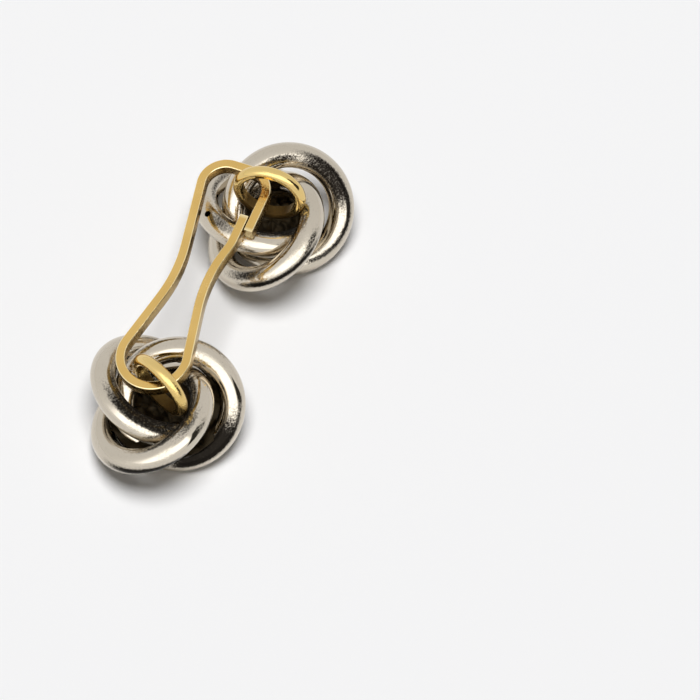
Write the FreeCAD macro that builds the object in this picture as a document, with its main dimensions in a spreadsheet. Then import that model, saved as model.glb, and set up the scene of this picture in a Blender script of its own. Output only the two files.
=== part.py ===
import FreeCAD, Part
import math
import os
import Sketcher

from FreeCAD import Placement, Rotation, Vector

# A double-sided knot cufflink, lying face down: two knots of three interlocked hollow rings, an eye
# standing in the back of each knot, and a waisted wire link whose loop runs through both eyes.
# Millimetres and degrees. +X runs along the link from head A to head B, +Z is up.

SIZES = [
    ("ring_outer", 11.19, "outside diameter of a knot ring"),
    ("tube_dia", 2.14, "diameter of the ring's tube"),
    ("tube_wall", 0.3, "wall of the ring's tube"),
    ("touch_gap", 0.04, "least room between two pieces that touch"),
    ("vent_dia", 0.55, "vent hole of a hollow ring"),
    ("vent_lean", 42.0, "vent's lean from the top of the tube to the outside"),
    ("vent_turn", 180.0, "vent from the ring's outermost point, facing the well"),
    ("vent_seen_turn", 68.0, "the same on the one ring whose vent faces out"),
    ("eye_ratio", 1.379, "outside diameter of an eye over the radius of a ring"),
    ("eye_width", 1.05, "width of the eye's band"),
    ("eye_thick", 0.78, "thickness of the eye's band at its crown"),
    ("eye_side", 0.34, "thickness of the eye's band at its sides"),
    ("eye_sink", 0.42, "depth of the notches that let the eye down onto the tubes"),
    ("wire_width", 0.78, "width of the link's wire"),
    ("wire_depth", 1.15, "depth of the link's wire"),
    ("wire_round", 0.12, "rounding of the wire's edges"),
    ("link_span", 16.0, "between the centres of two round ends of the link"),
    ("end_bend", 2.8, "radius of the round end along the wire's middle, and half the width of the other end"),
    ("hook_bend", 2.0, "radius of the two bends at the hooked end"),
    ("hook_cut", 0.05, "hooked end, shorter than a round one by"),
    ("waist_width", 2.86, "between the legs' middles at the waist"),
    ("waist_bend", 13.0, "radius of the waist along the wire's middle"),
    ("lap_gap", 0.08, "room between the wire's two ends"),
    ("lap_bend", 4.0, "radius that turns the inner end level with the hook"),
    ("lap_back", 1.4, "inner end of the wire, back from the centre of its end bend"),
    ("hook_back", 2.7, "outer end of the wire, back from the same centre"),
    ("link_roll", 8.0, "roll of the link where it lies on the knots"),
    ("head_a_out", 1.9, "head A beyond the centre of its end bend"),
    ("head_a_in", 1.47, "head A in from the wire's middle beside that centre"),
    ("head_a_yaw", -66.9, "first ring of head A from the link's axis"),
    ("head_a_lift", 2.2625, "rise of head A's rings from their middle to their edge"),
    ("head_a_slack", 0.115, "room between the tubes of head A's rings"),
    ("head_a_eye_yaw", -47.3, "plane of head A's eye from its first ring"),
    ("head_a_eye_lean", 0.0, "lean of head A's eye"),
    ("head_b_out", 1.55, "head B beyond the centre of a round end"),
    ("head_b_in", -0.06, "head B in from the wire's middle beside that centre"),
    ("head_b_yaw", -48.8, "first ring of head B from the link's axis"),
    ("head_b_lift", 2.517, "the same for head B"),
    ("head_b_slack", 0.345, "room between the tubes of head B's rings, which are knotted loosely"),
    ("head_b_eye_yaw", -34.0, "plane of head B's eye from its first ring"),
    ("head_b_eye_lean", -11.0, "lean of head B's eye"),
    ("slip_in", 0.48, "head B's slipped ring, nearer to the knot's axis by"),
    ("slip_side", 0.15, "the same ring, shifted along the knot's edge by"),
    ("slip_down", 0.38, "the same ring, lower by"),
    ("slip_flat", 7.0, "the same ring, flatter by"),
    ("slip_roll", 6.5, "the same ring, rolled inwards by"),
]
RULES = [
    ("ring_radius", "=(ring_outer - tube_dia) / 2", "ring's centre to the middle of its tube"),
    ("eye_outer", "=ring_radius * eye_ratio", "outside diameter of an eye"),
    ("bore_dia", "=tube_dia - 2 * tube_wall", "inside of the tube"),
    ("lap_side", "=end_bend - wire_width - lap_gap", "inner end of the wire from the link's axis"),
    ("lap_reach", "=link_span / 2 - lap_back", "inner end of the wire from the link's middle"),
    ("hook_reach", "=link_span / 2 - hook_back", "outer end of the wire from the link's middle"),
    ("hook_along", "=link_span / 2 + end_bend - hook_cut - hook_bend", "hook's bends from the link's middle"),
    ("hook_side", "=end_bend - hook_bend", "hook's bends from the link's axis"),
    ("waist_height", "=waist_width / 2 + waist_bend", "centre of a waist bend from the link's axis"),
]
RINGS = 3
RING_STEP = 360.0 / RINGS
HEAD_SIDES = {"head_a": -1, "head_b": 1}
SLIPPED = ("head_b", 1)
VENT_SEEN = "head_b_ring_2"
SAMPLES = 360
EDGE_STEPS = 24
UP = Vector(0, 0, 1)

doc = FreeCAD.newDocument("knot_cufflink")
sheet = doc.addObject("Spreadsheet::Sheet", "sheet")
for row, (alias, value, note) in enumerate(SIZES + RULES, 1):
    sheet.set(f"A{row}", note)
    sheet.set(f"B{row}", str(value))
    sheet.setAlias(f"B{row}", alias)
doc.recompute()


def size(alias):
    return float(sheet.get(alias))


def rising_root(function, low, high):
    """Where a rising function passes zero."""
    for _ in range(50):
        middle = (low + high) / 2
        if function(middle) < 0:
            low = middle
        else:
            high = middle
    return high


ring_radius = size("ring_radius")
tube_radius = size("tube_dia") / 2
turns = [2 * math.pi * step / SAMPLES for step in range(SAMPLES)]


def knot_place(head, index, offset, slip):
    """Place of one ring about its knot's axis, where a slip of 1 is the whole of the slipped ring's move."""
    tilt = math.degrees(math.asin(size(head + "_lift") / ring_radius))
    inward = Vector(offset, 0, 0)
    roll = 0
    if (head, index) == SLIPPED:
        tilt -= slip * size("slip_flat")
        inward += slip * Vector(-size("slip_in"), size("slip_side"), -size("slip_down"))
        roll = slip * size("slip_roll")
    lean = Rotation(Vector(1, 0, 0), tilt) * Rotation(Vector(0, 1, 0), roll)
    return Placement(Vector(), Rotation(UP, RING_STEP * index)) * Placement(inward, lean)


def from_tube_middle(point):
    """Distance from the middle of the tube of a ring at the origin."""
    return math.hypot(math.hypot(point.x, point.y) - ring_radius, point.z)


def tubes_room(places):
    """Least room between the tubes of two rings."""
    circle = [Vector(ring_radius * math.cos(turn), ring_radius * math.sin(turn), 0) for turn in turns]
    beside = places[1].inverse() * places[0]
    return min(from_tube_middle(beside * point) for point in circle) - size("tube_dia")


def ring_places(head):
    """Places of a head's rings: as close as the knot's slack allows, the slipped ring until it touches."""
    last = RINGS - 1

    def slack_left(offset):
        pair = [knot_place(head, index, offset, 0) for index in (0, last)]
        return tubes_room(pair) - size(head + "_slack")

    offset = rising_root(slack_left, size("tube_dia") / 3, size("tube_dia"))

    def slipped_past(slip):
        slipped, *others = [knot_place(head, index, offset, slip) for index in (1, 0, last)]
        return size("touch_gap") - min(tubes_room((slipped, other)) for other in others)

    slip = rising_root(slipped_past, 0, 2) if head == SLIPPED[0] else 0
    return [knot_place(head, index, offset, slip) for index in range(RINGS)]


knots = {head: ring_places(head) for head in HEAD_SIDES}


def crown(head):
    """Height of a knot's top above its middle."""
    return size(head + "_lift") + tube_radius


def head_place(head):
    """Place of a head's knot, lying on the floor beside the link's middle."""
    along = HEAD_SIDES[head] * (size("link_span") / 2 + size(head + "_out"))
    across = size(head + "_in") - size("end_bend")
    return Placement(Vector(along, across, crown(head)), Rotation(UP, size(head + "_yaw")))


def room_over(points, places):
    """Least room between points and the tubes of rings at these places."""
    into_rings = [place.inverse() for place in places]
    nearest = min(from_tube_middle(into_ring * point) for point in points for into_ring in into_rings)
    return nearest - tube_radius - size("touch_gap")


def eye_place(head):
    """Place of an eye over the knot's middle, let down by its notches from where it would touch the tubes."""
    crest = size("eye_outer") / 2
    edge = crest - size("eye_thick") + size("eye_side")
    half = size("eye_width") / 2
    turned = Rotation(UP, size(head + "_eye_yaw")) * Rotation(Vector(1, 0, 0), size(head + "_eye_lean"))
    outline = [
        turned * Vector(radius * math.cos(turn), across, radius * math.sin(turn))
        for radius, across in ((crest, 0), (edge, half), (edge, -half))
        for turn in turns[SAMPLES // 2:]
    ]

    def room(rise):
        return room_over([point + rise * UP for point in outline], knots[head])

    touching = rising_root(room, crown(head) / 2, crown(head) + size("eye_outer"))
    return Placement(Vector(0, 0, touching - size("eye_sink")), turned)


# legs run straight along the tangent that passes between a waist bend and an end bend
half_span = size("link_span") / 2
waist_height = size("waist_height")


def slope_to(along, side, radius):
    """Slope of the straight leg from the waist to a bend whose centre is at this place."""
    height = waist_height - side
    apart = math.hypot(along, height)
    return math.atan2(along, height) - math.acos((size("waist_bend") + radius) / apart)


leg_slope = slope_to(half_span, 0, size("end_bend"))
hook_slope = slope_to(size("hook_along"), size("hook_side"), size("hook_bend"))


def attach(feature, body, role):
    plane = next(plane for plane in body.Origin.OriginFeatures if plane.Role == role)
    feature.AttachmentSupport = [(plane, "")]
    feature.MapMode = "FlatFace"


def add_sketch(body, name, role):
    sketch = body.newObject("Sketcher::SketchObject", name)
    attach(sketch, body, role)
    return sketch


def rule(sketch, *words):
    sketch.addConstraint(Sketcher.Constraint(*words))


def measure(sketch, expression, *words):
    """Add one dimension at its drawn value and bind it to the sheet."""
    index = sketch.addConstraint(Sketcher.Constraint(*words))
    sketch.setExpression(f"Constraints[{index}]", expression)


def revolve(body, section):
    feature = body.newObject("PartDesign::Revolution", section.Name + "_turned")
    feature.Profile = section
    feature.ReferenceAxis = (section, ["V_Axis"])
    feature.Angle = 360
    doc.recompute()


def make_ring(label):
    """Hollow tube ring with its vent."""
    body = doc.addObject("PartDesign::Body", label)
    section = add_sketch(body, label + "_section", "XZ_Plane")
    centre = Vector(ring_radius, 0, 0)
    bore_radius = size("bore_dia") / 2
    outside = section.addGeometry(Part.Circle(centre, UP, tube_radius))
    inside = section.addGeometry(Part.Circle(centre, UP, bore_radius))
    rule(section, "PointOnObject", outside, 3, -1)
    rule(section, "Coincident", inside, 3, outside, 3)
    measure(section, "sheet.ring_radius", "DistanceX", -1, 1, outside, 3, ring_radius)
    measure(section, "sheet.tube_dia / 2", "Radius", outside, tube_radius)
    measure(section, "sheet.bore_dia / 2", "Radius", inside, bore_radius)
    revolve(body, section)
    closed_volume = body.Shape.Volume

    vent = add_sketch(body, label + "_vent", "XY_Plane")
    vent.AttachmentOffset = Placement(centre, Rotation(Vector(0, 1, 0), size("vent_lean")))
    vent.setExpression("AttachmentOffset.Base.x", "sheet.ring_radius")
    vent.setExpression("AttachmentOffset.Rotation.Angle", "sheet.vent_lean")
    hole = vent.addGeometry(Part.Circle(Vector(), UP, size("vent_dia") / 2))
    rule(vent, "Coincident", hole, 3, -1, 1)
    measure(vent, "sheet.vent_dia / 2", "Radius", hole, size("vent_dia") / 2)
    drilled = body.newObject("PartDesign::Pocket", label + "_drilled")
    drilled.Profile = vent
    drilled.Reversed = True
    drilled.setExpression("Length", "sheet.tube_dia")
    doc.recompute()
    if not body.Shape.Volume < closed_volume:
        raise RuntimeError(label + ": the vent cuts nothing")
    return body


def make_eye(label, place, rings):
    """Band ring, flat inside and domed outside, notched where it stands on the tubes."""
    body = doc.addObject("PartDesign::Body", label)
    section = add_sketch(body, label + "_section", "XY_Plane")
    crest = size("eye_outer") / 2
    bore = crest - size("eye_thick")
    side = bore + size("eye_side")
    half = size("eye_width") / 2
    dome_rise = crest - side
    corners = [Vector(side, -half, 0), Vector(bore, -half, 0), Vector(bore, half, 0), Vector(side, half, 0)]
    lower, inner, upper = [section.addGeometry(Part.LineSegment(a, b)) for a, b in zip(corners, corners[1:])]
    dome = section.addGeometry(Part.Arc(corners[0], Vector(crest, 0, 0), corners[3]))
    rule(section, "Coincident", lower, 2, inner, 1)
    rule(section, "Coincident", inner, 2, upper, 1)
    rule(section, "Coincident", dome, 1, lower, 1)
    rule(section, "Coincident", dome, 2, upper, 2)
    rule(section, "Horizontal", lower)
    rule(section, "Horizontal", upper)
    rule(section, "Equal", lower, upper)
    rule(section, "Symmetric", inner, 1, inner, 2, -1)
    measure(section, "sheet.eye_outer / 2 - sheet.eye_thick", "DistanceX", -1, 1, inner, 1, bore)
    measure(section, "sheet.eye_width", "DistanceY", inner, 1, inner, 2, 2 * half)
    measure(section, "sheet.eye_side", "DistanceX", inner, 2, upper, 2, size("eye_side"))
    rise_text = "(sheet.eye_thick - sheet.eye_side)"
    measure(section, f"({rise_text} ^ 2 + (sheet.eye_width / 2) ^ 2) / (2 * {rise_text})",
            "Radius", dome, (dome_rise ** 2 + half ** 2) / (2 * dome_rise))
    revolve(body, section)
    whole_volume = body.Shape.Volume

    for number, ring in enumerate(rings, 1):
        notch = body.newObject("PartDesign::SubtractiveTorus", f"{label}_notch_{number}")
        attach(notch, body, "XY_Plane")
        notch.AttachmentOffset = place.inverse() * ring
        notch.setExpression("Radius1", "sheet.ring_radius")
        notch.setExpression("Radius2", "sheet.tube_dia / 2 + sheet.touch_gap")
        doc.recompute()
    if not body.Shape.Volume < whole_volume:
        raise RuntimeError(label + ": the notches cut nothing")
    return body


def polar(centre, radius, angle):
    return centre + Vector(radius * math.cos(angle), radius * math.sin(angle), 0)


def draw_route(route):
    """Middle of the wire, from its inner end round the loop to the hook."""
    bend = size("end_bend")
    waist = size("waist_bend")
    lap = size("lap_bend")
    curl = size("hook_bend")
    lap_side = size("lap_side")
    quarter = math.pi / 2
    end_a = Vector(-half_span, 0, 0)
    curl_high = Vector(size("hook_along"), size("hook_side"), 0)
    curl_low = Vector(size("hook_along"), -size("hook_side"), 0)
    above = Vector(0, waist_height, 0)
    below = Vector(0, -waist_height, 0)
    # the inner end leaves the waist's bend for the lap's bend, which brings it level with the hook
    lap_centre_y = lap - lap_side
    lap_slope = math.acos((lap_centre_y + waist_height) / (waist + lap))
    lap_centre = Vector((waist + lap) * math.sin(lap_slope), lap_centre_y, 0)
    lap_reach = size("lap_reach")
    hook_reach = size("hook_reach")

    def line(start, end):
        return route.addGeometry(Part.LineSegment(start, end))

    def arc(centre, radius, start, end):
        return route.addGeometry(Part.ArcOfCircle(Part.Circle(centre, UP, radius), start, end))

    inner_end = line(Vector(lap_reach, -lap_side, 0), polar(lap_centre, lap, -quarter))
    lap_turn = arc(lap_centre, lap, -quarter - lap_slope, -quarter)
    low_waist = arc(below, waist, quarter - lap_slope, quarter + leg_slope)
    low_leg = line(polar(below, waist, quarter + leg_slope), polar(end_a, bend, leg_slope - quarter))
    turn_a = arc(end_a, bend, quarter - leg_slope, 3 * quarter + leg_slope)
    high_leg_a = line(polar(end_a, bend, quarter - leg_slope), polar(above, waist, -quarter - leg_slope))
    high_waist = arc(above, waist, -quarter - leg_slope, hook_slope - quarter)
    high_leg_b = line(polar(above, waist, hook_slope - quarter), polar(curl_high, curl, quarter + hook_slope))
    turn_b = arc(curl_high, curl, 0, quarter + hook_slope)
    flat_end = line(polar(curl_high, curl, 0), polar(curl_low, curl, 0))
    hook_turn = arc(curl_low, curl, -quarter, 0)
    hook = line(polar(curl_low, curl, -quarter), Vector(hook_reach, -bend, 0))

    # each pair joins smoothly: piece, its end (1 start, 2 end), next piece, its end
    for joint in (
        (inner_end, 2, lap_turn, 2), (lap_turn, 1, low_waist, 1), (low_waist, 2, low_leg, 1),
        (low_leg, 2, turn_a, 2), (turn_a, 1, high_leg_a, 1), (high_leg_a, 2, high_waist, 1),
        (high_waist, 2, high_leg_b, 1), (high_leg_b, 2, turn_b, 2), (turn_b, 1, flat_end, 1),
        (flat_end, 2, hook_turn, 2), (hook_turn, 1, hook, 1),
    ):
        rule(route, "Tangent", *joint)
    rule(route, "Horizontal", inner_end)
    rule(route, "Horizontal", hook)
    rule(route, "Vertical", flat_end)
    rule(route, "PointOnObject", turn_a, 3, -1)
    rule(route, "PointOnObject", low_waist, 3, -2)
    rule(route, "PointOnObject", high_waist, 3, -2)
    measure(route, "sheet.end_bend", "Radius", turn_a, bend)
    for turn in (turn_b, hook_turn):
        measure(route, "sheet.hook_bend", "Radius", turn, curl)
    for arch in (low_waist, high_waist):
        measure(route, "sheet.waist_bend", "Radius", arch, waist)
    measure(route, "sheet.lap_bend", "Radius", lap_turn, lap)
    measure(route, "sheet.link_span / 2", "DistanceX", turn_a, 3, -1, 1, half_span)
    measure(route, "sheet.hook_along", "DistanceX", -1, 1, turn_b, 3, curl_high.x)
    measure(route, "sheet.hook_side", "DistanceY", -1, 1, turn_b, 3, curl_high.y)
    measure(route, "sheet.hook_side", "DistanceY", hook_turn, 3, -1, 1, curl_high.y)
    measure(route, "sheet.waist_height", "DistanceY", -1, 1, high_waist, 3, waist_height)
    measure(route, "sheet.waist_height", "DistanceY", low_waist, 3, -1, 1, waist_height)
    measure(route, "sheet.lap_reach", "DistanceX", -1, 1, inner_end, 1, lap_reach)
    measure(route, "sheet.lap_side", "DistanceY", inner_end, 1, -1, 1, lap_side)
    measure(route, "sheet.hook_reach", "DistanceX", -1, 1, hook, 2, hook_reach)


def draw_section(section, middle):
    """Rounded rectangle of the wire about a point on the sketch's level axis."""
    half_width = size("wire_width") / 2
    half_depth = size("wire_depth") / 2
    corner = size("wire_round")
    quarter = math.pi / 2
    flat_width = half_width - corner
    flat_depth = half_depth - corner
    corners = [
        section.addGeometry(Part.ArcOfCircle(
            Part.Circle(middle + Vector(along * flat_width, over * flat_depth, 0), UP, corner),
            start * quarter, (start + 1) * quarter))
        for start, (along, over) in enumerate(((1, 1), (-1, 1), (-1, -1), (1, -1)))
    ]
    sides = [
        section.addGeometry(Part.LineSegment(start, end))
        for start, end in (
            (middle + Vector(flat_width, half_depth, 0), middle + Vector(-flat_width, half_depth, 0)),
            (middle + Vector(-half_width, flat_depth, 0), middle + Vector(-half_width, -flat_depth, 0)),
            (middle + Vector(-flat_width, -half_depth, 0), middle + Vector(flat_width, -half_depth, 0)),
            (middle + Vector(half_width, -flat_depth, 0), middle + Vector(half_width, flat_depth, 0)),
        )
    ]
    for index, side in enumerate(sides):
        rule(section, "Tangent", corners[index], 2, side, 1)
        rule(section, "Tangent", side, 2, corners[(index + 1) % 4], 1)
        rule(section, "Horizontal" if index % 2 == 0 else "Vertical", side)
    for arc in corners[1:]:
        rule(section, "Equal", corners[0], arc)
    measure(section, "sheet.wire_round", "Radius", corners[0], corner)
    measure(section, "sheet.wire_width", "DistanceX", sides[1], 1, sides[3], 2, 2 * half_width)
    measure(section, "sheet.wire_depth", "DistanceY", sides[2], 1, sides[0], 2, 2 * half_depth)
    measure(section, "sheet.wire_depth / 2", "DistanceY", sides[2], 1, -1, 1, half_depth)
    measure(section, "sheet.lap_side + sheet.wire_width / 2",
            "DistanceX", sides[1], 1, -1, 1, half_width - middle.x)


def make_link(label):
    """Rectangular wire along a waisted loop whose two ends lie side by side at head B."""
    body = doc.addObject("PartDesign::Body", label)
    route = add_sketch(body, label + "_route", "XY_Plane")
    draw_route(route)
    section = add_sketch(body, label + "_section", "YZ_Plane")
    section.AttachmentOffset = Placement(Vector(0, 0, size("lap_reach")), Rotation())
    section.setExpression("AttachmentOffset.Base.z", "sheet.lap_reach")
    draw_section(section, Vector(-size("lap_side"), 0, 0))
    doc.recompute()
    wire = body.newObject("PartDesign::AdditivePipe", label + "_wire")
    wire.Profile = section
    wire.Spine = (route, [])
    doc.recompute()
    section_area = Part.Face(section.Shape.Wires[0]).Area
    drawn_volume = section_area * route.Shape.Length
    if abs(body.Shape.Volume - drawn_volume) > drawn_volume / 1000:
        raise RuntimeError(label + ": the wire's volume is not its section times its length")
    return body, route


def link_place(route):
    """Place of the link, let down on the knots until its lower face touches a tube."""
    rolled = Rotation(Vector(1, 0, 0), -size("link_roll"))
    below = Vector(0, 0, -size("wire_depth") / 2)
    underside = []
    for edge in route.Shape.Edges:
        for step in range(EDGE_STEPS + 1):
            at = edge.FirstParameter + (edge.LastParameter - edge.FirstParameter) * step / EDGE_STEPS
            sideways = edge.tangentAt(at).cross(UP) * size("wire_width") / 2
            for side in (-1, 0, 1):
                underside.append(rolled * (edge.valueAt(at) + side * sideways + below))
    rings = [head_place(head) * place for head in HEAD_SIDES for place in knots[head]]
    highest = max(crown(head) for head in HEAD_SIDES)

    def room(rise):
        return room_over([point + rise * UP for point in underside], rings)

    return Placement(Vector(0, 0, rising_root(room, highest, 4 * highest)), rolled)


def make_head(head):
    """Three rings and the eye, each at its place on the floor."""
    base = head_place(head)
    pieces = []
    for number, place in enumerate(knots[head], 1):
        label = f"{head}_ring_{number}"
        ring = make_ring(label)
        vent_turn = size("vent_seen_turn" if label == VENT_SEEN else "vent_turn")
        ring.Placement = base * place * Placement(Vector(), Rotation(UP, vent_turn))
        pieces.append(ring)
    in_knot = eye_place(head)
    eye = make_eye(head + "_eye", in_knot, knots[head])
    eye.Placement = base * in_knot
    print(f"{head} crown {crown(head):.3f}, eye rise {in_knot.Base.z:.3f}")
    return pieces + [eye]


link, link_route = make_link("link_wire")
link.Placement = link_place(link_route)
parts = [link] + [piece for head in HEAD_SIDES for piece in make_head(head)]

# the origin is the middle of the box, on the floor
box = FreeCAD.BoundBox()
for part in parts:
    box.add(part.Shape.optimalBoundingBox(False))
to_origin = Placement(Vector(-box.Center.x, -box.Center.y, -box.ZMin), Rotation())
for part in parts:
    part.Placement = to_origin * part.Placement
doc.recompute()

for item in doc.Objects:
    if "Invalid" in item.State or "Error" in item.State:
        raise RuntimeError(item.Label + " failed")
for part in parts:
    if part.Shape.isNull() or not part.Shape.isValid():
        raise RuntimeError(part.Label + " has no valid shape")

os.makedirs("parts", exist_ok=True)
for part in parts:
    part.Shape.exportStep(os.path.join("parts", part.Label + ".step"))
print(f"link at {link.Placement.Base}, origin moved by {to_origin.Base}")
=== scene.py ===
import bpy
import math
from mathutils import Matrix, Vector


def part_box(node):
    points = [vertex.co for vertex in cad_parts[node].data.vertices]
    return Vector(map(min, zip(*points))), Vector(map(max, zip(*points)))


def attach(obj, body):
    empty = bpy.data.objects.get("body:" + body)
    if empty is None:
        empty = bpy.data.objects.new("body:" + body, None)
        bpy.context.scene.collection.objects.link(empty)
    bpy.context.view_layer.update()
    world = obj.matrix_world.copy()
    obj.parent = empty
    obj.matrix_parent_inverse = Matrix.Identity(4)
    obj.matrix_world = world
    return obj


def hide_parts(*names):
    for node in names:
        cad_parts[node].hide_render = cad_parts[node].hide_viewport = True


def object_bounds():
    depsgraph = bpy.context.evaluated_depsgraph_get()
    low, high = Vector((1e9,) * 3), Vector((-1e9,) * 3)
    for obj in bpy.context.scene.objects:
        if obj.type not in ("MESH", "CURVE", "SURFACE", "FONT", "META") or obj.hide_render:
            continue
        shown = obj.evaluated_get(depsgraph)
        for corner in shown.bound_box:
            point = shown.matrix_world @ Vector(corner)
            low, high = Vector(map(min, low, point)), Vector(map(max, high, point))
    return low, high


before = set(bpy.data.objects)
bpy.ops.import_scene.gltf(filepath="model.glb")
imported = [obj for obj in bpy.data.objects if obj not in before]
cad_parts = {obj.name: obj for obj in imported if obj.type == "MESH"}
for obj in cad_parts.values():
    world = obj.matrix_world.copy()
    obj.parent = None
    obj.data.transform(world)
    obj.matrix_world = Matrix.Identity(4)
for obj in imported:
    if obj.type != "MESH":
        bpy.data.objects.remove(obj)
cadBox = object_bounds()
scene = bpy.context.scene
scene.view_settings.view_transform = "Standard"
mm = 0.001  # pieces are shaped in millimetres and scaled as they are put in place
hair = 1e-4  # closer than this, two points are one
crease = math.radians(32)  # faces that meet at less are shaded smooth
heads = ("head_a", "head_b")
ringNumbers = (1, 2, 3)
print("frame loaded")


def turnedZ(degrees):
    return Matrix.Rotation(math.radians(degrees), 4, "Z")


def turnedX(degrees):
    return Matrix.Rotation(math.radians(degrees), 4, "X")


def turnedY(degrees):
    return Matrix.Rotation(math.radians(degrees), 4, "Y")


def boxMiddle(node):
    low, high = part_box(node)
    return (low + high) / 2 / mm


def pickOnly(*pieces):
    bpy.ops.object.select_all(action="DESELECT")
    for piece in pieces:
        piece.select_set(True)
    bpy.context.view_layer.objects.active = pieces[-1]


def editAll(piece):
    pickOnly(piece)
    bpy.ops.object.mode_set(mode="EDIT")
    bpy.ops.mesh.select_mode(type="VERT")
    bpy.ops.mesh.select_all(action="SELECT")


def editPicked(piece, mode, picks):  # edit mode with only the parts that picks() accepts
    pickOnly(piece)
    bpy.ops.object.mode_set(mode="EDIT")
    bpy.ops.mesh.select_mode(type=mode)
    bpy.ops.mesh.select_all(action="DESELECT")
    bpy.ops.object.mode_set(mode="OBJECT")
    parts = {"VERT": piece.data.vertices, "EDGE": piece.data.edges, "FACE": piece.data.polygons}[mode]
    for part in parts:
        part.select = picks(part)
    bpy.ops.object.mode_set(mode="EDIT")


def leaveEdit():
    bpy.ops.object.mode_set(mode="OBJECT")


def useModifier(piece, kind, **settings):
    pickOnly(piece)
    modifier = piece.modifiers.new(kind.lower(), kind)
    for name, value in settings.items():
        setattr(modifier, name, value)
    bpy.ops.object.modifier_apply(modifier=modifier.name)


def cutAway(piece, cutter):
    useModifier(piece, "BOOLEAN", operation="DIFFERENCE", object=cutter, solver="EXACT")
    bpy.data.objects.remove(cutter)


def putInPlace(piece, place):
    piece.matrix_world = Matrix.Scale(mm, 4) @ place
    pickOnly(piece)
    bpy.ops.object.transform_apply(location=True, rotation=True, scale=True)
    bpy.ops.object.shade_smooth_by_angle(angle=crease)


def copyOf(piece, name):
    pickOnly(piece)
    bpy.ops.object.duplicate(linked=False)
    twin = bpy.context.object
    twin.name = name
    return twin


knot = {
    "tubeRadius": 1.07,
    "ringRadius": 4.525,  # to the middle of the tube
    "wall": 0.3,
    "yaw": {"head_a": -66.9, "head_b": -48.8},  # of the first ring
    "tilt": {"head_a": 30.0, "head_b": 33.8},
    "slipped": {"head_b_ring_2": (26.71, 6.58)},  # tilt and roll of the ring that slipped inwards
    "step": 120,
    "ventRadius": 0.275,
    "ventSides": 40,
    "ventLean": 42,
    "ventTurn": {"head_b_ring_2": 68},  # the others face the well
    "hiddenVent": 180,
    "seamTurn": {"head_a_ring_3": 150},
    "hiddenSeam": 268,
    "seamWidth": 0.05,
    "seamDepth": 0.02,
    "around": 240,
    "across": 56,
    "cutterAcross": 64,  # of the tubes that only make room for a ring
}


def ringNode(head, number):
    return f"{head}_ring_{number}"


def ringPlace(head, number):
    node = ringNode(head, number)
    yaw = knot["yaw"][head] + (number - 1) * knot["step"]
    tilt, roll = knot["slipped"].get(node, (knot["tilt"][head], 0))
    return Matrix.Translation(boxMiddle(node)) @ turnedZ(yaw) @ turnedX(tilt) @ turnedY(roll)


def addTube(tubeRadius, across):
    bpy.ops.object.select_all(action="DESELECT")
    bpy.ops.mesh.primitive_torus_add(
        major_radius=knot["ringRadius"], minor_radius=tubeRadius,
        major_segments=knot["around"], minor_segments=across, generate_uvs=True)
    return bpy.context.object


def cutRoom(piece, head, gap, toPiece):  # where the tubes of a knot pass, with a gap round them
    for number in ringNumbers:
        tube = addTube(knot["tubeRadius"] + gap, knot["cutterAcross"])
        tube.matrix_world = toPiece @ ringPlace(head, number)
        cutAway(piece, tube)


def ventedTube():
    tube = addTube(knot["tubeRadius"], knot["across"])
    useModifier(tube, "SOLIDIFY", thickness=knot["wall"], offset=-1)
    lean = math.radians(knot["ventLean"])
    outward = Vector((math.sin(lean), 0, math.cos(lean)))
    bpy.ops.mesh.primitive_cylinder_add(
        vertices=knot["ventSides"], radius=knot["ventRadius"], depth=knot["tubeRadius"],
        location=Vector((knot["ringRadius"], 0, 0)) + outward * knot["tubeRadius"], rotation=(0, lean, 0))
    cutAway(tube, bpy.context.object)
    return tube


def cutSeam(ring, degrees):  # the line where the tube's two ends were soldered
    span = math.pi / knot["around"]
    wanted = math.radians(degrees)

    def onSeam(vertex):
        far = math.hypot(vertex.co.x - knot["ringRadius"] * math.cos(wanted),
                         vertex.co.y - knot["ringRadius"] * math.sin(wanted))
        turn = math.atan2(vertex.co.y, vertex.co.x) - wanted
        turn = (turn + math.pi) % (2 * math.pi) - math.pi
        return far < 2 * knot["tubeRadius"] and -span < turn <= span

    def crossesSeam(edge):
        return all(onSeam(ring.data.vertices[corner]) for corner in edge.vertices)

    editPicked(ring, "EDGE", crossesSeam)
    bpy.ops.mesh.bevel(offset=knot["seamWidth"], segments=2, affect="EDGES", loop_slide=False)
    leaveEdit()
    editPicked(ring, "EDGE", crossesSeam)
    bpy.ops.transform.shrink_fatten(value=-knot["seamDepth"])
    leaveEdit()


paintedShade = {  # painted dark reflections in bands: from, to around the ring, from, to across the tube, slant, strength
    "softAlong": 20,
    "softAcross": 9,
    "lead": 60,  # up to here before its start, a band still lies ahead
    "head_a_ring_1": ((258, 346, 46, 122, 0, 1.0), (92, 150, 24, 38, 0, 0.6)),
    "head_a_ring_2": ((84, 168, 46, 128, 0, 0.9), (60, 90, 88, 128, 0, 0.8)),
    "head_a_ring_3": ((-8, 66, 4, 38, -0.85, 1.0), (26, 168, 84, 136, 0, 0.75),
                      (74, 98, 52, 100, 0, 0.8)),
    "head_b_ring_1": ((-14, 62, 60, 128, 0, 0.9), (62, 106, 80, 112, 0, 0.8),
                      (268, 346, 78, 100, -0.4, 0.9)),
    "head_b_ring_2": ((74, 93, 34, 112, 0, 0.85), (112, 180, 80, 128, 0, 0.85),
                      (-14, 60, 106, 130, 0, 0.6)),
    "head_b_ring_3": ((-6, 76, 22, 46, -0.6, 1.0), (-20, 18, 58, 100, 0, 0.8),
                      (86, 108, 66, 112, 0, 0.8)),
}


def smoothed(value, start, stop):
    share = min(max((value - start) / (stop - start), 0), 1)
    return share * share * (3 - 2 * share)


def between(value, start, stop, soft):
    return smoothed(value, start - soft, start + soft) * smoothed(-value, -stop - soft, soft - stop)


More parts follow.
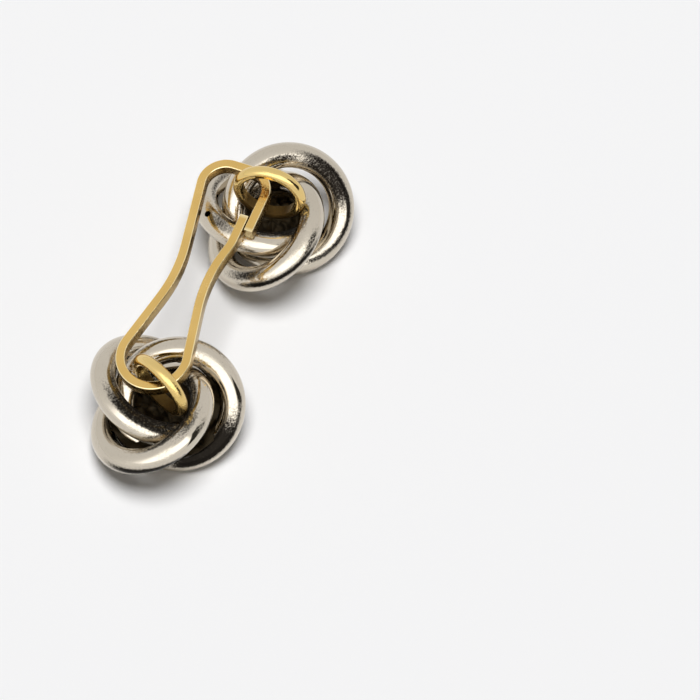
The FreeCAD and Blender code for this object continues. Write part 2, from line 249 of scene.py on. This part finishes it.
def inBand(turn, lean, band):
    start, stop, low, high, slant, strength = band
    past = (turn - start + paintedShade["lead"]) % 360 - paintedShade["lead"]
    lengthwise = between(past, 0, stop - start, paintedShade["softAlong"])
    crosswise = between(lean - slant * past, low, high, paintedShade["softAcross"])
    return strength * lengthwise * crosswise


def paintMask(piece, name, shadeOf):  # one value for each vertex, which the material reads
    marks = piece.data.attributes.new(name, "FLOAT", "POINT")
    for vertex, mark in zip(piece.data.vertices, marks.data):
        mark.value = shadeOf(vertex)


# paints the ring's bands of dark reflection into its colour, as painted shade
def paintBands(ring, turned, bands):
    def bandShade(vertex):
        out = math.hypot(vertex.co.x, vertex.co.y) - knot["ringRadius"]
        turn = math.degrees(math.atan2(vertex.co.y, vertex.co.x)) + turned
        lean = math.degrees(math.atan2(vertex.co.z, out))
        return max(inBand(turn, lean, band) for band in bands)

    paintMask(ring, "paintedShade", bandShade)


pattern = ventedTube()
rings = {}
for head in heads:
    for number in ringNumbers:
        node = ringNode(head, number)
        ring = copyOf(pattern, node + "_tube")
        ventTurn = knot["ventTurn"].get(node, knot["hiddenVent"])
        cutSeam(ring, knot["seamTurn"].get(node, knot["hiddenSeam"]) - ventTurn)
        paintBands(ring, ventTurn, paintedShade[node])
        putInPlace(ring, ringPlace(head, number) @ turnedZ(ventTurn))
        rings[node] = ring
bpy.data.objects.remove(pattern)
print("rings done")

eye = {
    "crest": 3.12,  # outside radius
    "bore": 2.34,
    "halfWidth": 0.525,
    "dome": 0.533,
    "domeSides": 96,
    "corner": 0.07,
    "gap": 0.04,  # left for solder
    "height": {"head_a": 7.047, "head_b": 7.691},
    "yaw": {"head_a": -114.2, "head_b": -82.8},
    "lean": {"head_a": 0, "head_b": -11},
    "around": 200,
    "footShade": 0.9,  # painted shade: the part sunk in the well is darkened
    "footDepth": (0.5, 1.7),
}


def eyePlace(head):
    first, last = boxMiddle(ringNode(head, 1)), boxMiddle(ringNode(head, 3))
    yaw = math.radians(knot["yaw"][head])
    fromAxis = (first - last).length / math.sqrt(3)  # the two stand a third of a turn apart
    centre = first - fromAxis * Vector((math.cos(yaw), math.sin(yaw), 0))
    centre.z = eye["height"][head]
    return Matrix.Translation(centre) @ turnedZ(eye["yaw"][head]) @ turnedX(eye["lean"][head])


def domedBand():
    bpy.ops.object.select_all(action="DESELECT")
    bpy.ops.mesh.primitive_circle_add(
        vertices=eye["domeSides"], radius=eye["dome"], fill_type="NGON",
        location=(eye["crest"] - eye["dome"], 0, 0))
    band = bpy.context.object
    bpy.ops.object.transform_apply(location=True, rotation=False, scale=False)
    for point, outward in (
        ((eye["bore"], 0, 0), (-1, 0, 0)),
        ((0, eye["halfWidth"], 0), (0, 1, 0)),
        ((0, -eye["halfWidth"], 0), (0, -1, 0)),
    ):
        editAll(band)
        bpy.ops.mesh.bisect(
            plane_co=point, plane_no=outward, clear_outer=True, use_fill=False, threshold=hair)
        leaveEdit()
    editPicked(band, "VERT", lambda vertex: abs(abs(vertex.co.y) - eye["halfWidth"]) < hair)
    bpy.ops.mesh.bevel(offset=eye["corner"], segments=4, affect="VERTICES")
    bpy.ops.mesh.select_all(action="SELECT")
    bpy.ops.mesh.delete(type="ONLY_FACE")
    bpy.ops.mesh.select_all(action="SELECT")
    bpy.ops.mesh.spin(steps=eye["around"], angle=2 * math.pi, center=(0, 0, 0), axis=(0, 1, 0))
    bpy.ops.mesh.select_all(action="SELECT")
    bpy.ops.mesh.remove_doubles(threshold=hair)
    bpy.ops.mesh.normals_make_consistent(inside=False)
    leaveEdit()
    return band


def footShade(vertex):
    return eye["footShade"] * smoothed(-vertex.co.z, *eye["footDepth"])


pattern = domedBand()
eyes = {}
for head in heads:
    band = copyOf(pattern, head + "_eye_band")
    cutRoom(band, head, eye["gap"], eyePlace(head).inverted())
    paintMask(band, "paintedShade", footShade)
    putInPlace(band, eyePlace(head))
    eyes[head] = band
bpy.data.objects.remove(pattern)
print("eyes done")

web = {  # a dark, solder-like sheet that closes a knot's well under its eye, put there as painted shade for the well
    "radius": {"head_a": 5.0, "head_b": 3.5},
    "sides": 90,
    "shift": {"head_a": Vector((0.3, -0.4, 0)), "head_b": Vector()},
    "drop": 0.5,  # below the knot's middle
    "thick": 0.4,
    "gap": 0.03,
    "lump": 0.5,
    "lumpSize": 0.8,
    "insets": 18,
}


def wellShadeSheet(name, head):
    middles = [boxMiddle(ringNode(head, number)) for number in ringNumbers]
    middle = sum(middles, Vector()) / len(middles)
    place = Matrix.Translation(middle + web["shift"][head] - Vector((0, 0, web["drop"])))
    bpy.ops.object.select_all(action="DESELECT")
    bpy.ops.mesh.primitive_circle_add(vertices=web["sides"], radius=web["radius"][head], fill_type="NGON")
    piece = bpy.context.object
    piece.name = name
    editAll(piece)
    bpy.ops.mesh.select_mode(type="FACE")
    bpy.ops.mesh.select_all(action="SELECT")
    for _ in range(web["insets"]):
        bpy.ops.mesh.inset(thickness=web["radius"][head] / (web["insets"] + 1))
    leaveEdit()
    lumps = bpy.data.textures.new("lumps", "CLOUDS")
    lumps.noise_scale = web["lumpSize"]
    useModifier(piece, "DISPLACE", texture=lumps, strength=web["lump"], direction="Z", mid_level=0.5)
    useModifier(piece, "SOLIDIFY", thickness=web["thick"], offset=-1)
    cutRoom(piece, head, web["gap"], place.inverted())
    putInPlace(piece, place)
    return piece


webs = {head: wellShadeSheet(head + "_solder", head) for head in heads}
print("solder done")

link = {
    "width": 0.78,
    "depth": 1.15,
    "corner": 0.12,
    "halfSpan": 8.0,  # to the centre of a round end
    "bend": 2.8,
    "curl": 2.0,  # radius of the two bends of the hooked end
    "curlAlong": 8.75,
    "curlSide": 0.8,
    "waist": 13.0,
    "waistHalf": 1.43,
    # painted shade: the wire's upright sides are darker than its top
    "sideShade": 0.75,
    "sideSlope": (0.6, 0.2),  # upright share of the normal where the shade starts and where it is full
    "cornerSlope": (0.45, 0.88, 0.1),  # from, to and softness of the painted highlight on the bevelled corners
    "lap": 4.0,
    "lapGap": 0.08,
    "lapBack": 1.4,
    "hookBack": 2.7,
    "roll": 8,
    "stepDegrees": 3.0,
    "stepLength": 0.35,
}


def legTo(along, height, radius):  # slope and length of the straight leg from the waist to a bend
    apart = math.hypot(along, height)
    turned = link["waist"] + radius
    return math.atan2(along, height) - math.acos(turned / apart), math.sqrt(apart ** 2 - turned ** 2)


def bentWire():
    waistHeight = link["waist"] + link["waistHalf"]
    lapSide = link["bend"] - link["width"] - link["lapGap"]
    slope, legLength = legTo(link["halfSpan"], waistHeight, link["bend"])
    curlSlope, curlLeg = legTo(link["curlAlong"], waistHeight - link["curlSide"], link["curl"])
    lapHeight = link["lap"] - lapSide
    lapSlope = math.acos((lapHeight + waistHeight) / (link["waist"] + link["lap"]))
    lapAlong = (link["waist"] + link["lap"]) * math.sin(lapSlope)
    lapReach = link["halfSpan"] - link["lapBack"]
    spinSense = -1  # the spin tool turns clockwise for a positive angle

    bpy.ops.object.select_all(action="DESELECT")
    bpy.ops.mesh.primitive_plane_add(
        size=1, location=(lapReach, -lapSide, 0), rotation=(0, math.pi / 2, 0))
    wire = bpy.context.object
    wire.scale = (link["depth"], link["width"], 1)
    bpy.ops.object.transform_apply(location=True, rotation=True, scale=True)
    editAll(wire)
    bpy.ops.mesh.bevel(offset=link["corner"], segments=5, affect="VERTICES")
    bpy.ops.mesh.select_all(action="SELECT")
    bpy.ops.mesh.delete(type="ONLY_FACE")
    bpy.ops.mesh.select_all(action="SELECT")

    def straight(length, heading):
        parts = max(1, round(length / link["stepLength"]))
        step = Vector((math.cos(heading), math.sin(heading), 0)) * length / parts
        for _ in range(parts):
            bpy.ops.mesh.extrude_region_move(TRANSFORM_OT_translate={"value": step})

    def bend(centre, angle):
        steps = max(2, round(abs(math.degrees(angle)) / link["stepDegrees"]))
        bpy.ops.mesh.spin(steps=steps, angle=angle * spinSense, center=centre, axis=(0, 0, 1))

    def atLapEnd(vertex):
        return abs(vertex.co.x - lapReach) < hair and abs(vertex.co.y + lapSide) < link["width"]

    straight(lapReach - lapAlong, math.pi)
    bend((lapAlong, lapHeight, 0), -lapSlope)
    bend((0, -waistHeight, 0), lapSlope + slope)
    straight(legLength, math.pi + slope)
    bend((-link["halfSpan"], 0, 0), -math.pi - 2 * slope)
    straight(legLength, -slope)
    bend((0, waistHeight, 0), slope + curlSlope)
    straight(curlLeg, curlSlope)
    bend((link["curlAlong"], link["curlSide"], 0), -math.pi / 2 - curlSlope)
    straight(2 * link["curlSide"], -math.pi / 2)
    bend((link["curlAlong"], -link["curlSide"], 0), -math.pi / 2)
    straight(link["curlAlong"] - link["halfSpan"] + link["hookBack"], math.pi)
    bpy.ops.mesh.edge_face_add()  # the hook's cut end
    leaveEdit()
    editPicked(wire, "VERT", atLapEnd)
    bpy.ops.mesh.edge_face_add()
    bpy.ops.mesh.select_all(action="SELECT")
    bpy.ops.mesh.remove_doubles(threshold=hair)
    bpy.ops.mesh.normals_make_consistent(inside=False)
    leaveEdit()
    return wire


def sideShade(vertex):
    start, full = link["sideSlope"]
    return link["sideShade"] * smoothed(-abs(vertex.normal.z), -start, -full)


def cornerHighlight(vertex):
    return between(abs(vertex.normal.z), *link["cornerSlope"])


wire = bentWire()
wire.name = "link_wire_loop"
paintMask(wire, "paintedShade", sideShade)
paintMask(wire, "paintedHighlight", cornerHighlight)
beyond = (link["curlAlong"] + link["curl"] - link["halfSpan"] - link["bend"]) / 2  # the hook's longer reach
middle = boxMiddle("link_wire") - Vector((beyond, 0, 0))
putInPlace(wire, Matrix.Translation(middle) @ turnedX(-link["roll"]))
print("link done")


def newMaterial(name):
    material = bpy.data.materials.new(name)
    material.use_nodes = True
    nodes = material.node_tree.nodes
    return material, nodes, material.node_tree.links.new, nodes["Principled BSDF"]


def newGroup(name, inputs, outputs):
    group = bpy.data.node_groups.new(name, "ShaderNodeTree")
    for label, value in inputs.items():
        socket = group.interface.new_socket(label, in_out="INPUT", socket_type="NodeSocketFloat")
        socket.default_value = value
    for label, kind in outputs.items():
        group.interface.new_socket(label, in_out="OUTPUT", socket_type=kind)
    return group, group.nodes.new("NodeGroupInput"), group.nodes.new("NodeGroupOutput")


def addNode(nodes, kind, **settings):
    node = nodes.new(kind)
    for name, value in settings.items():
        if name.startswith("in_"):
            node.inputs[name[3:].replace("_", " ")].default_value = value
        else:
            setattr(node, name, value)
    return node


def blend(nodes, join, share, base, colour):  # from a colour or a socket towards a colour
    mix = addNode(nodes, "ShaderNodeMix", data_type="RGBA")
    join(share, mix.inputs[0])
    mix.inputs[7].default_value = (*colour, 1)
    if isinstance(base, tuple):
        mix.inputs[6].default_value = (*base, 1)
    else:
        join(base, mix.inputs[6])
    return mix.outputs[2]


def wearAndPaintedShade():  # fine scratches in patches, soft waves, and the speckled mask of painted shade and painted dark reflections
    group, given, gives = newGroup(
        "wearAndPaintedShade",
        {"Grain": 9000.0, "Depth": 0.2, "Wave": 0.1, "Band": 0.0, "Speckle": 0.2},
        {"Wear": "NodeSocketFloat", "Tone": "NodeSocketFloat", "ShadeMask": "NodeSocketFloat",
         "Normal": "NodeSocketVector"})
    nodes, join = group.nodes, group.links.new
    place = addNode(nodes, "ShaderNodeTexCoord")
    patches = addNode(nodes, "ShaderNodeTexNoise", in_Scale=420.0, in_Detail=3.0)
    join(place.outputs["Object"], patches.inputs["Vector"])
    grain = addNode(nodes, "ShaderNodeTexNoise", in_Detail=4.0, in_Roughness=0.7)
    join(place.outputs["Object"], grain.inputs["Vector"])
    join(given.outputs["Grain"], grain.inputs["Scale"])
    inPatches = addNode(nodes, "ShaderNodeMapRange", in_From_Min=0.42, in_From_Max=0.62)
    join(patches.outputs["Fac"], inPatches.inputs["Value"])
    specks = addNode(nodes, "ShaderNodeMapRange", in_From_Min=0.5, in_From_Max=0.72)
    join(grain.outputs["Fac"], specks.inputs["Value"])
    worn = addNode(nodes, "ShaderNodeMath", operation="MULTIPLY")
    join(inPatches.outputs["Result"], worn.inputs[0])
    join(specks.outputs["Result"], worn.inputs[1])
    waves = addNode(nodes, "ShaderNodeTexNoise", in_Scale=300.0, in_Detail=1.0)
    join(place.outputs["Object"], waves.inputs["Vector"])
    waved = addNode(nodes, "ShaderNodeBump", in_Distance=0.0002)
    join(given.outputs["Wave"], waved.inputs["Strength"])
    join(waves.outputs["Fac"], waved.inputs["Height"])
    scratched = addNode(nodes, "ShaderNodeBump", in_Distance=0.00003)
    join(given.outputs["Depth"], scratched.inputs["Strength"])
    join(worn.outputs["Value"], scratched.inputs["Height"])
    join(waved.outputs["Normal"], scratched.inputs["Normal"])
    join(worn.outputs["Value"], gives.inputs["Wear"])
    join(waves.outputs["Fac"], gives.inputs["Tone"])
    # speckles break up the mask of painted shade and painted dark reflections
    speckle = addNode(nodes, "ShaderNodeMapRange",
                      in_From_Min=0.4, in_From_Max=0.6, in_To_Min=-0.5, in_To_Max=0.5)
    join(grain.outputs["Fac"], speckle.inputs["Value"])
    speckled = addNode(nodes, "ShaderNodeMath", operation="MULTIPLY_ADD")
    join(speckle.outputs["Result"], speckled.inputs[0])
    join(given.outputs["Speckle"], speckled.inputs[1])
    join(given.outputs["Band"], speckled.inputs[2])
    shadeAmount = addNode(nodes, "ShaderNodeMapRange", in_From_Min=0.14, in_From_Max=0.82)
    join(speckled.outputs["Value"], shadeAmount.inputs["Value"])
    join(shadeAmount.outputs["Result"], gives.inputs["ShadeMask"])
    join(scratched.outputs["Normal"], gives.inputs["Normal"])
    return group


polish = wearAndPaintedShade()


def metal(name, look):
    material, nodes, join, shader = newMaterial(name)
    marks = addNode(nodes, "ShaderNodeGroup", node_tree=polish)
    for socket in ("Grain", "Depth", "Wave", "Speckle"):
        marks.inputs[socket].default_value = look[socket]
    bands = addNode(nodes, "ShaderNodeAttribute", attribute_name="paintedShade")
    join(bands.outputs["Fac"], marks.inputs["Band"])
    shadePaint = marks.outputs["ShadeMask"]
    colour = blend(nodes, join, marks.outputs["Tone"], look["colour"], look["tint"])
    # towards the dark shade colour: painted shade and painted dark reflections
    colour = blend(nodes, join, shadePaint, colour, look["shadePaint"])
    # painted highlight on the wire's bevelled corners
    if "paintedHighlight" in look:
        corners = addNode(nodes, "ShaderNodeAttribute", attribute_name="paintedHighlight")
        colour = blend(nodes, join, corners.outputs["Fac"], colour, look["paintedHighlight"])
    join(colour, shader.inputs["Base Color"])
    rough = addNode(nodes, "ShaderNodeMapRange", in_To_Min=look["smooth"], in_To_Max=look["rough"])
    join(marks.outputs["Wear"], rough.inputs["Value"])
    hazy = addNode(nodes, "ShaderNodeMath", operation="MULTIPLY_ADD")
    hazy.inputs[1].default_value = look["haze"]
    join(shadePaint, hazy.inputs[0])
    join(rough.outputs["Result"], hazy.inputs[2])
    join(hazy.outputs["Value"], shader.inputs["Roughness"])
    join(marks.outputs["Normal"], shader.inputs["Normal"])
    shader.inputs["Specular IOR Level"].default_value = 0
    shader.inputs["Metallic"].default_value = 1
    if "bare" in look:  # where the painted shade is densest, part of the metal turns matt
        bare = addNode(nodes, "ShaderNodeMapRange", in_From_Min=0.6, in_To_Min=1.0, in_To_Max=look["bare"])
        join(shadePaint, bare.inputs["Value"])
        join(bare.outputs["Result"], shader.inputs["Metallic"])
    return material


# its dark shade colour is the painted dark reflection in the ring bands; bare is the metal share left where
# that is densest
whiteGold = metal("white_gold_polished", {
    "colour": (0.645, 0.585, 0.49), "tint": (0.57, 0.51, 0.415),
    "shadePaint": (0.015, 0.0125, 0.01), "bare": 0.5, "haze": 0.1,
    "smooth": 0.06, "rough": 0.24,
    "Grain": 7000.0, "Depth": 0.35, "Wave": 0.12, "Speckle": 0.38})
# its dark shade colour is painted shade on the wire's upright sides
linkGold = metal("yellow_gold_satin", {
    # the bright corner colour is a painted highlight
    "colour": (0.88, 0.60, 0.215), "tint": (0.68, 0.435, 0.125), "paintedHighlight": (1.0, 0.86, 0.52),
    "shadePaint": (0.34, 0.23, 0.075), "haze": 0.1,
    "smooth": 0.13, "rough": 0.4,
    "Grain": 6000.0, "Depth": 0.4, "Wave": 0.25, "Speckle": 0.12})
# its dark shade colour is painted shade on the eye's foot in the well
eyeGold = metal("yellow_gold_polished", {
    "colour": (0.84, 0.63, 0.27), "tint": (0.70, 0.49, 0.16),
    "shadePaint": (0.10, 0.06, 0.018), "bare": 0.5, "haze": 0.2,
    "smooth": 0.08, "rough": 0.3,
    "Grain": 6000.0, "Depth": 0.3, "Wave": 0.2, "Speckle": 0.2})
# a near-black sheet as painted shade in the wells and the gaps between tubes
wellShadeFill = metal("dark_solder", {
    "colour": (0.05, 0.038, 0.023), "tint": (0.018, 0.014, 0.008),
    "shadePaint": (0.02, 0.016, 0.01), "haze": 0.1,
    "smooth": 0.3, "rough": 0.6,
    "Grain": 3000.0, "Depth": 0.6, "Wave": 0.6, "Speckle": 0.38})


def dress(piece, material):
    piece.data.materials.clear()
    piece.data.materials.append(material)


for node, ring in rings.items():
    dress(ring, whiteGold)
    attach(ring, node[:6])
    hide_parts(node)
for head, band in eyes.items():
    dress(band, eyeGold)
    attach(band, head)
    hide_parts(head + "_eye")
for head, piece in webs.items():
    dress(piece, wellShadeFill)
    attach(piece, head)
dress(wire, linkGold)
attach(wire, "link")
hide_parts("link_wire")
print("materials done")

shot = {
    "target": Vector((1.504, -11.625, 2.735)) * mm,
    "forward": Vector((0.9222, 0.3867, 0)),  # on the floor, away from the viewer
    "right": Vector((0.3867, -0.9222, 0)),
    "elevation": math.radians(64.6),
    "distance": 0.8607,
    "lens": 533.8,
}
cameraData = bpy.data.cameras.new("camera")
cameraData.sensor_width = 36
cameraData.lens = shot["lens"]
camera = bpy.data.objects.new("camera", cameraData)
scene.collection.objects.link(camera)
scene.camera = camera
back = Vector((0, 0, 1)) * math.sin(shot["elevation"]) - shot["forward"] * math.cos(shot["elevation"])
camera.location = shot["target"] + back * shot["distance"]
camera.rotation_euler = back.to_track_quat("Z", "Y").to_euler()
cameraData.clip_start = 0.01
print("camera done")

studio = {
    "walls": (0.84, 0.84, 0.84),
    "viewerSide": (1.0, 1.0, 1.0),
    "dark": (0.04, 0.038, 0.035),
    "softbox": (2.2, 2.2, 2.2),
    "plain": (0.913, 0.913, 0.913),
    "floor": (0.90, 0.90, 0.905),
    "ambient": (0.12, 0.12, 0.12),  # what the tent sends to the paper
    "floorSize": 2.0,
    "edge": ((86, -10), (94, 46), (114, 48), (126, 20), (134, -10)),  # top of the unlit side
    "edgeRange": (-10, 100),  # lowest edge, and the span that the ramp's greys stand for
    "edgeSoft": 2.5,
    "softAround": ((118, 130), (215, 262)),  # where the softbox fades in and out
    "softAbove": ((18, 28), (62, 78)),
    "softClear": (1, 4),  # above the unlit side
    "viewerFade": (-0.5, 0.6),
    "keyPower": 13.6,
    "keySize": 0.65,
    "keyPlace": Vector((0.045, 0.02, 1.2)),  # overhead and a little behind
}
world = bpy.data.worlds.new("tent")
scene.world = world
world.use_nodes = True
nodes, join = world.node_tree.nodes, world.node_tree.links.new
background = nodes["Background"]
direction = addNode(nodes, "ShaderNodeTexCoord")


def along(axis):  # share of the direction along an axis
    dot = addNode(nodes, "ShaderNodeVectorMath", operation="DOT_PRODUCT")
    dot.inputs[1].default_value = axis
    join(direction.outputs["Generated"], dot.inputs[0])
    return dot.outputs["Value"]


def calculate(operation, *values):
    node = addNode(nodes, "ShaderNodeMath", operation=operation)
    for socket, value in zip(node.inputs, values):
        if isinstance(value, (int, float)):
            socket.default_value = value
        else:
            join(value, socket)
    return node.outputs["Value"]


def fade(value, start, stop, low=0.0, high=1.0):
    node = addNode(nodes, "ShaderNodeMapRange", interpolation_type="SMOOTHSTEP",
                   in_From_Min=start, in_From_Max=stop, in_To_Min=low, in_To_Max=high)
    join(value, node.inputs["Value"])
    return node.outputs["Result"]


azimuth = calculate("DEGREES", calculate("ARCTAN2", along(shot["right"]), along(shot["forward"])))
azimuth = calculate("FLOORED_MODULO", azimuth, 360)  # 0 is away from the viewer, 90 to the right
elevation = calculate("DEGREES", calculate("ARCSINE", along((0, 0, 1))))
lowest, span = studio["edgeRange"]
heights = addNode(nodes, "ShaderNodeValToRGB")
for number, (turn, height) in enumerate(studio["edge"]):
    stops = heights.color_ramp.elements
    stop = stops[number] if number < 2 else stops.new(1)
    stop.position = turn / 360
    stop.color = (*[(height - lowest) / span] * 3, 1)
join(calculate("DIVIDE", azimuth, 360), heights.inputs["Fac"])
edge = calculate("MULTIPLY_ADD", heights.outputs["Color"], span, lowest)
above = calculate("SUBTRACT", elevation, edge)
unlit = fade(above, -studio["edgeSoft"], studio["edgeSoft"], 1, 0)
lit = fade(above, *studio["softClear"])
for value, (rise, fall) in ((azimuth, studio["softAround"]), (elevation, studio["softAbove"])):
    lit = calculate("MULTIPLY", lit, fade(value, *rise))
    lit = calculate("MULTIPLY", lit, fade(value, *fall, 1, 0))
towardsViewer = fade(along(-shot["forward"]), *studio["viewerFade"])
tent = blend(nodes, join, towardsViewer, studio["walls"], studio["viewerSide"])
tent = blend(nodes, join, unlit, tent, studio["dark"])
tent = blend(nodes, join, lit, tent, studio["softbox"])
path = addNode(nodes, "ShaderNodeLightPath")
matt = calculate("SUBTRACT", 1, path.outputs["Is Glossy Ray"])
tent = blend(nodes, join, matt, tent, studio["ambient"])
tent = blend(nodes, join, path.outputs["Is Camera Ray"], tent, studio["plain"])
join(tent, background.inputs["Color"])

keyData = bpy.data.lights.new("key", "AREA")
keyData.shape = "DISK"
keyData.size = studio["keySize"]
keyData.energy = studio["keyPower"]
key = bpy.data.objects.new("key", keyData)
key.location = studio["keyPlace"]
key.rotation_euler = studio["keyPlace"].to_track_quat("Z", "Y").to_euler()
key.visible_glossy = False
scene.collection.objects.link(key)

bpy.ops.object.select_all(action="DESELECT")
bpy.ops.mesh.primitive_plane_add(size=studio["floorSize"], location=(0, 0, cadBox[0].z))
floor = bpy.context.object
floor.name = "floor"
floorMaterial, *_, shader = newMaterial("floor_paper")
shader.inputs["Base Color"].default_value = (*studio["floor"], 1)
shader.inputs["Roughness"].default_value = 0.9
shader.inputs["Specular IOR Level"].default_value = 0
floor.data.materials.append(floorMaterial)
print("studio done")
